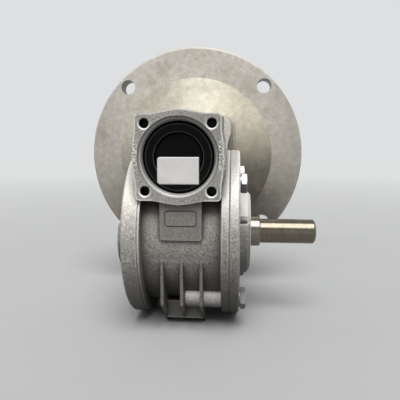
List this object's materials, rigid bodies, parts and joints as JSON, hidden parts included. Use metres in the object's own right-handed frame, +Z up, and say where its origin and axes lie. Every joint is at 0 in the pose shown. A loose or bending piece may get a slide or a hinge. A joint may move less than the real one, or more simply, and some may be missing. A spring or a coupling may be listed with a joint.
{
  "type": "speed reducer",
  "caption": "Right-angle worm speed reducer with a round motor flange, a square capped front face, a finned drum and a plain output shaft.",
  "frame": {"origin": "on the resting plane under the middle foot rib, below the point where the worm's vertical plane meets the output axis", "axes": "+X along the output shaft towards its free end, +Y along the worm from the capped end to the motor flange, +Z up"},
  "size_m": [0.1657, 0.122, 0.1856],
  "materials": {
    "cast_aluminium": "as-cast, shot-blasted, satin",
    "machined_flange": "fine-turned, satin",
    "shaft_steel": "ground, lightly oiled",
    "zinc_steel": "bright zinc plated",
    "dark_steel": "black oxide",
    "bearing_steel": "ground",
    "cap_rubber": "smooth, slightly glossy",
    "seal_rubber": "matte",
    "gasket_paper": "matte",
    "bronze": "machined",
    "cast_iron": "as-cast"
  },
  "bodies": {
    "root": {"housing": "cast_aluminium", "side_cover": "cast_aluminium", "cover_gasket": "gasket_paper", "cover_bolts": "zinc_steel", "motor_adapter": "machined_flange", "adapter_gasket": "gasket_paper", "adapter_screws": "dark_steel", "worm_end_cap": "cap_rubber", "output_oil_seal": "seal_rubber", "worm_oil_seal": "seal_rubber", "worm_front_circlip": "dark_steel", "worm_rear_circlip": "dark_steel", "output_left_bearing_outer": "bearing_steel", "output_right_bearing_outer": "bearing_steel", "worm_front_bearing_outer": "bearing_steel", "worm_rear_bearing_outer": "bearing_steel"},
    "worm": {"worm_shaft": "shaft_steel", "worm_front_bearing_inner": "bearing_steel", "worm_rear_bearing_inner": "bearing_steel"},
    "output": {"output_shaft": "shaft_steel", "wheel_key": "bearing_steel", "wheel_hub": "cast_iron", "wheel_rim": "bronze", "wheel_spacer": "bearing_steel", "output_left_bearing_inner": "bearing_steel", "output_right_bearing_inner": "bearing_steel"}
  },
  "joints": [
    {"name": "output_spin", "type": "hinge", "parent": "root", "child": "output", "pos_m": [0, 0, 0.054], "axis": [1, 0, 0], "continuous": true},
    {"name": "worm_spin", "type": "hinge", "parent": "root", "child": "worm", "pos_m": [0, 0, 0.103], "axis": [0, 1, 0], "continuous": true}
  ],
  "couplings": [
    {"joint": "worm_spin", "follows": "output_spin", "ratio": 18}
  ]
}
